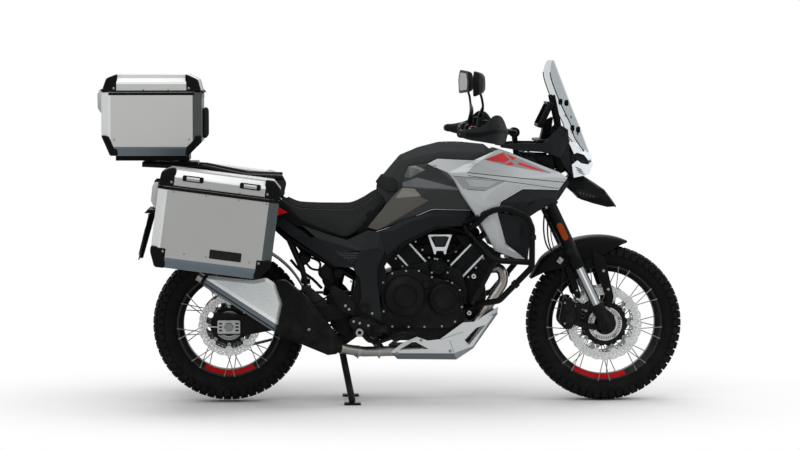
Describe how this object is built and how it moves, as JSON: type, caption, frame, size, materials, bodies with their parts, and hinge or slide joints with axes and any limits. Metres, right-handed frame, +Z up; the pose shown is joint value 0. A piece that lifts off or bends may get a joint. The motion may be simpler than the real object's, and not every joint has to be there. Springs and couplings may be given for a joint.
{
  "type": "adventure motorcycle",
  "caption": "Two-cylinder adventure motorcycle on its centre stand, with spoked wheels, crash bars, hinged side cases and a top case.",
  "frame": {"origin": "on the floor, under the middle of the bounding box", "axes": "+X forward, +Y the rider's left, +Z up"},
  "size_m": [2.438, 0.98, 1.425],
  "materials": {
    "rubber_tyre": "matt black rubber with block tread",
    "black_wheel": "semi-gloss black paint, bright spokes",
    "brushed_steel": "brushed stainless steel",
    "black_aluminium": "satin black paint on cast aluminium",
    "black_steel": "satin black powder coat on steel tube",
    "bare_aluminium": "brushed aluminium",
    "fork_steel": "ground steel tube with black feet",
    "gloss_grey": "gloss dark grey paint",
    "silver_paint": "satin silver paint with red and black panels",
    "matt_black_plastic": "grained black plastic",
    "charcoal_plastic": "grained charcoal plastic",
    "seat_cover": "black grained seat cover with stitching",
    "black_rubber": "matt black rubber",
    "lamp_lens": "clear lamp lens over a dark housing",
    "red_lens": "red lamp lens",
    "amber_lens": "amber lamp lens",
    "smoked_screen": "smoke-tinted clear plastic"
  },
  "bodies": {
    "chassis": {"main_frame": "black_aluminium", "subframe": "black_steel", "swingarm": "black_aluminium", "rear_shock": "black_steel", "drive_chain": "brushed_steel", "engine": "black_aluminium", "engine_covers": "black_aluminium", "radiator": "black_aluminium", "exhaust_headers": "brushed_steel", "exhaust_muffler": "bare_aluminium", "muffler_heat_shield": "matt_black_plastic", "skid_plate": "bare_aluminium", "fuel_tank": "gloss_grey", "side_fairings": "silver_paint", "radiator_shrouds": "matt_black_plastic", "frame_side_covers": "charcoal_plastic", "rider_seat": "seat_cover", "passenger_seat": "seat_cover", "tail_cover": "matt_black_plastic", "rear_rack": "black_steel", "top_case_plate": "matt_black_plastic", "top_case_box": "bare_aluminium", "pannier_box_right": "bare_aluminium", "pannier_box_left": "bare_aluminium", "pannier_racks": "black_steel", "rear_mudguard": "matt_black_plastic", "rear_hugger": "matt_black_plastic", "tail_light": "red_lens", "rear_indicators": "amber_lens", "rear_brake_caliper": "black_aluminium", "front_cowl": "charcoal_plastic", "headlight": "lamp_lens", "windscreen": "smoked_screen", "instrument_display": "matt_black_plastic", "front_beak": "matt_black_plastic", "crash_bars": "black_steel", "footpegs": "black_aluminium", "foot_controls": "black_aluminium"},
    "steering": {"triple_clamps": "black_aluminium", "fork_tubes": "black_aluminium", "fork_legs": "fork_steel", "front_mudguard": "matt_black_plastic", "front_brake_calipers": "black_aluminium", "handlebar": "black_steel", "handlebar_grips": "black_rubber", "bar_controls": "matt_black_plastic", "hand_guards": "matt_black_plastic", "mirrors": "matt_black_plastic"},
    "front_wheel_body": {"front_tyre": "rubber_tyre", "front_wheel": "black_wheel", "front_brake_discs": "brushed_steel"},
    "rear_wheel_body": {"rear_tyre": "rubber_tyre", "rear_wheel": "black_wheel", "rear_brake_disc": "brushed_steel", "rear_sprocket": "brushed_steel"},
    "centre_stand_body": {"centre_stand": "black_steel"},
    "side_stand_body": {"side_stand": "black_steel"},
    "top_case_lid_body": {"top_case_lid": "bare_aluminium"},
    "pannier_lid_right_body": {"pannier_lid_right": "bare_aluminium"},
    "pannier_lid_left_body": {"pannier_lid_left": "bare_aluminium"}
  },
  "joints": [
    {"name": "steering_turn", "type": "hinge", "parent": "chassis", "child": "steering", "pos_m": [0.57706, 0, 0.89546], "axis": [-0.4305, 0, 0.9026], "range_deg": [-35, 35]},
    {"name": "front_wheel_spin", "type": "hinge", "parent": "steering", "child": "front_wheel_body", "pos_m": [0.893, 0, 0.326], "axis": [0, 1, 0], "continuous": true},
    {"name": "rear_wheel_spin", "type": "hinge", "parent": "chassis", "child": "rear_wheel_body", "pos_m": [-0.675, 0, 0.326], "axis": [0, 1, 0], "continuous": true},
    {"name": "centre_stand_fold", "type": "hinge", "parent": "chassis", "child": "centre_stand_body", "pos_m": [-0.215, 0, 0.262], "axis": [0, 1, 0], "range_deg": [0, 97]},
    {"name": "side_stand_fold", "type": "hinge", "parent": "chassis", "child": "side_stand_body", "pos_m": [-0.078, 0.176, 0.262], "axis": [-0.1007, -0.9041, -0.4153], "range_deg": [0, 99.1]},
    {"name": "top_case_lid_open", "type": "hinge", "parent": "chassis", "child": "top_case_lid_body", "pos_m": [-0.7785, 0, 1.29425], "axis": [0, 1, 0], "range_deg": [0, 95]},
    {"name": "pannier_lid_right_open", "type": "hinge", "parent": "chassis", "child": "pannier_lid_right_body", "pos_m": [-0.45951, -0.376, 0.86353], "axis": [0, 1, 0], "range_deg": [0, 95]},
    {"name": "pannier_lid_left_open", "type": "hinge", "parent": "chassis", "child": "pannier_lid_left_body", "pos_m": [-0.45951, 0.376, 0.86353], "axis": [0, 1, 0], "range_deg": [0, 95]}
  ]
}
